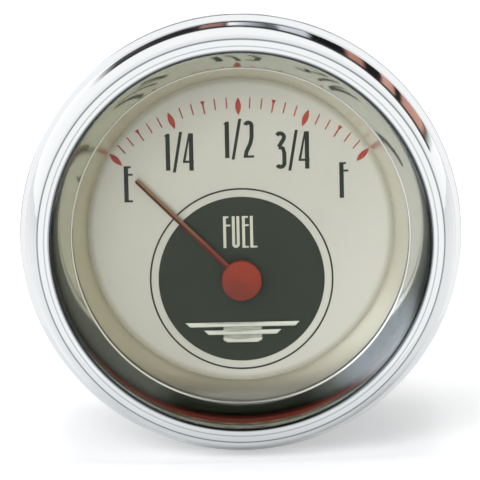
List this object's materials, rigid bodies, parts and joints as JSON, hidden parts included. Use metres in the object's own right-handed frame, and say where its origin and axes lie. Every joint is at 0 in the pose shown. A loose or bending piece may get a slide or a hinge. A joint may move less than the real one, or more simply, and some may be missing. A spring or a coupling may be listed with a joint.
{
  "type": "fuel gauge",
  "caption": "Round panel-mounted electric fuel gauge with a stepped chrome bezel, a nickel dial, a red pointer and a rear clamp.",
  "frame": {"origin": "centre of the panel opening in the plane where the bezel seats on the panel's front face", "axes": "+Y from the dial to the terminals, +Z towards twelve o'clock on the dial, +X to the viewer's right"},
  "size_m": [0.0604, 0.0613, 0.0604],
  "materials": {
    "chrome_plate": "polished",
    "black_rubber": "matte",
    "clear_glass": "polished",
    "satin_nickel": "satin",
    "brushed_nickel_dial": "brushed",
    "bright_nickel": "polished",
    "zinc_steel": "satin",
    "brass": "machined",
    "white_nylon": "satin",
    "enamelled_copper": "gloss",
    "green_laminate": "satin",
    "white_ceramic": "matte",
    "black_plastic": "satin",
    "red_paint": "satin",
    "black_ferrite": "matte"
  },
  "bodies": {
    "gauge": {"bezel": "chrome_plate", "lens_gasket": "black_rubber", "lens": "clear_glass", "dial_ring": "satin_nickel", "dial_plate": "brushed_nickel_dial", "dial_ornament": "bright_nickel", "case": "zinc_steel", "movement_plate": "brass", "bobbin_front": "white_nylon", "bobbin_rear": "white_nylon", "coil_inner": "enamelled_copper", "coil_outer": "enamelled_copper", "shield_can": "zinc_steel", "movement_screws": "zinc_steel", "plate_posts": "brass", "post_screws": "zinc_steel", "circuit_board": "green_laminate", "range_resistor": "white_ceramic", "terminal_studs": "brass", "terminal_bushings": "white_nylon", "terminal_insulators": "white_nylon", "terminal_washers": "zinc_steel", "terminal_nuts": "zinc_steel", "mounting_studs": "zinc_steel"},
    "pointer": {"pointer_arm": "red_paint", "pointer_cap": "red_paint", "pointer_spindle": "zinc_steel", "rotor_magnet": "black_ferrite"},
    "clamp": {"clamp_bracket": "zinc_steel", "clamp_washers": "zinc_steel"},
    "left_nut": {"left_thumb_nut": "brass"},
    "right_nut": {"right_thumb_nut": "brass"},
    "lamp": {"lamp_holder": "black_plastic", "lamp_bulb": "clear_glass", "lamp_contacts": "brass"}
  },
  "joints": [
    {"name": "pointer_sweep", "type": "hinge", "parent": "gauge", "child": "pointer", "pos_m": [0, 0, -0.0069], "axis": [0, 1, 0], "range_deg": [0, 90]},
    {"name": "clamp_slide", "type": "slide", "parent": "gauge", "child": "clamp", "axis": [0, -1, 0], "range_m": [-0.00238, 0.00476]},
    {"name": "left_nut_turn", "type": "hinge", "parent": "clamp", "child": "left_nut", "pos_m": [-0.016, 0.0445, 0], "axis": [0, -1, 0], "range_deg": [-1090, 2170]},
    {"name": "right_nut_turn", "type": "hinge", "parent": "clamp", "child": "right_nut", "pos_m": [0.016, 0.0445, 0], "axis": [0, -1, 0], "range_deg": [-1090, 2170]},
    {"name": "lamp_pull", "type": "slide", "parent": "gauge", "child": "lamp", "axis": [0, 1, 0], "range_m": [0, 0.025]}
  ],
  "couplings": [
    {"joint": "left_nut_turn", "follows": "clamp_slide", "rad_per_m": 7915.8},
    {"joint": "right_nut_turn", "follows": "clamp_slide", "rad_per_m": 7915.8}
  ]
}
